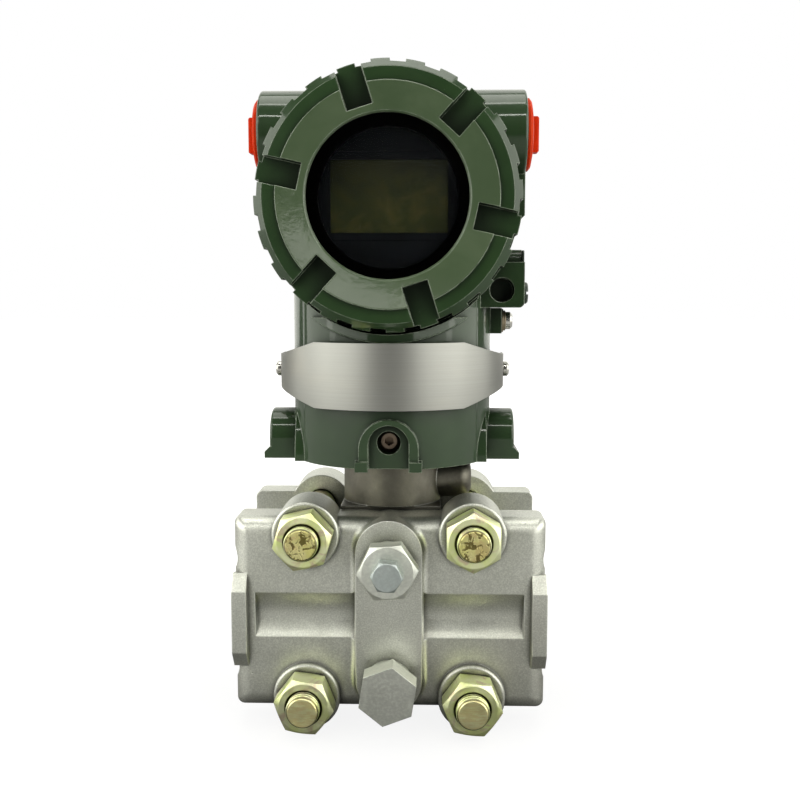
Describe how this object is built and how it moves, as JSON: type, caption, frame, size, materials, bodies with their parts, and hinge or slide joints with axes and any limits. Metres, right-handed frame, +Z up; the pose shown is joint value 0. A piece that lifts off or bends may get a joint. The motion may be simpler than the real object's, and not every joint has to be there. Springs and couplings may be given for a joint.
{
  "type": "differential pressure transmitter",
  "caption": "Industrial differential pressure transmitter: round two-compartment head with a display window over a capsule bolted between two process flanges.",
  "frame": {"origin": "under the middle of the part, on the plane that the flange bosses stand on", "axes": "+X to the right seen from the display side, +Y away from the display side, +Z up along the neck"},
  "size_m": [0.1148, 0.1116, 0.2395],
  "materials": {
    "cast_steel": "bead-blasted cast stainless steel",
    "neck_steel": "rough cast stainless steel",
    "zinc_steel": "zinc plated with yellow-green passivation",
    "machined_steel": "turned stainless steel",
    "gasket": "matt elastomer",
    "green_paint": "dark green gloss enamel on cast aluminium",
    "nameplate_steel": "brushed stainless sheet",
    "screw_steel": "bright steel",
    "washer_brass": "tarnished brass",
    "adjust_plate": "grey-green paint",
    "window_glass": "clear polished glass",
    "retainer_alu": "dark anodised",
    "circuit_board": "green solder mask",
    "display_screen": "unlit liquid crystal display",
    "display_mask": "black moulded plastic",
    "terminal_plastic": "black moulded plastic",
    "cable_jacket": "grey ribbon cable",
    "plug_plastic": "red-orange moulded plastic"
  },
  "bodies": {
    "sensor": {"front_flange": "cast_steel", "rear_flange": "cast_steel", "flange_bolt_1": "zinc_steel", "flange_bolt_2": "zinc_steel", "flange_bolt_3": "zinc_steel", "flange_bolt_4": "zinc_steel", "flange_nut_1": "zinc_steel", "flange_nut_2": "zinc_steel", "flange_nut_3": "zinc_steel", "flange_nut_4": "zinc_steel", "front_vent_plug": "machined_steel", "rear_vent_plug": "machined_steel", "front_drain_plug": "machined_steel", "rear_drain_plug": "machined_steel", "capsule_body": "neck_steel", "front_gasket": "gasket", "rear_gasket": "gasket", "front_diaphragm": "machined_steel", "rear_diaphragm": "machined_steel", "neck_seal": "gasket", "sensor_header": "machined_steel"},
    "housing": {"housing": "green_paint", "nameplate": "nameplate_steel", "nameplate_screw_left": "screw_steel", "nameplate_screw_right": "screw_steel", "earth_screw": "screw_steel", "earth_washer": "washer_brass", "earth_lock_washer": "washer_brass", "adjust_plate": "adjust_plate", "front_set_screw": "screw_steel", "rear_set_screw": "screw_steel", "amplifier_board": "circuit_board", "display_board": "circuit_board", "board_spacers": "screw_steel", "display_panel": "display_screen", "display_frame": "display_mask", "terminal_block": "terminal_plastic", "terminal_screws": "screw_steel", "sensor_cable": "cable_jacket"},
    "front_seal": {"front_cover_seal": "gasket"},
    "front_cover": {"front_cover": "green_paint", "window_gasket": "gasket", "window_glass": "window_glass", "window_retainer": "retainer_alu"},
    "rear_seal": {"rear_cover_seal": "gasket"},
    "rear_cover": {"rear_cover": "green_paint"},
    "adjust_screw": {"adjust_screw": "adjust_plate"},
    "front_vent_screw": {"front_vent_screw": "machined_steel"},
    "rear_vent_screw": {"rear_vent_screw": "machined_steel"},
    "left_plug": {"left_conduit_plug": "plug_plastic"},
    "right_plug": {"right_conduit_plug": "plug_plastic"}
  },
  "joints": [
    {"name": "housing_turn", "type": "hinge", "parent": "sensor", "child": "housing", "pos_m": [0, 0, 0.105], "axis": [0, 0, 1], "range_deg": [-180, 180]},
    {"name": "front_cover_out", "type": "slide", "parent": "housing", "child": "front_seal", "axis": [0, -1, 0], "range_m": [0, 0.012]},
    {"name": "front_cover_turn", "type": "hinge", "parent": "front_seal", "child": "front_cover", "pos_m": [0, -0.03, 0.193], "axis": [0, -1, 0], "range_deg": [0, 2880]},
    {"name": "rear_cover_out", "type": "slide", "parent": "housing", "child": "rear_seal", "axis": [0, 1, 0], "range_m": [0, 0.012]},
    {"name": "rear_cover_turn", "type": "hinge", "parent": "rear_seal", "child": "rear_cover", "pos_m": [0, 0.04, 0.193], "axis": [0, 1, 0], "range_deg": [0, 2880]},
    {"name": "adjust_screw_turn", "type": "hinge", "parent": "housing", "child": "adjust_screw", "pos_m": [0.0504, -0.004, 0.1604], "axis": [1, 0, 0], "continuous": true},
    {"name": "front_vent_screw_turn", "type": "hinge", "parent": "sensor", "child": "front_vent_screw", "pos_m": [0, -0.05, 0.06305], "axis": [0, -1, 0], "range_deg": [0, 720]},
    {"name": "rear_vent_screw_turn", "type": "hinge", "parent": "sensor", "child": "rear_vent_screw", "pos_m": [0, 0.05, 0.06305], "axis": [0, 1, 0], "range_deg": [0, 720]},
    {"name": "left_plug_out", "type": "slide", "parent": "housing", "child": "left_plug", "axis": [-1, 0, 0], "range_m": [0, 0.02]},
    {"name": "right_plug_out", "type": "slide", "parent": "housing", "child": "right_plug", "axis": [1, 0, 0], "range_m": [0, 0.02]}
  ],
  "couplings": [
    {"joint": "front_cover_out", "follows": "front_cover_turn", "m_per_rad": 0.0002387},
    {"joint": "rear_cover_out", "follows": "rear_cover_turn", "m_per_rad": 0.0002387}
  ]
}
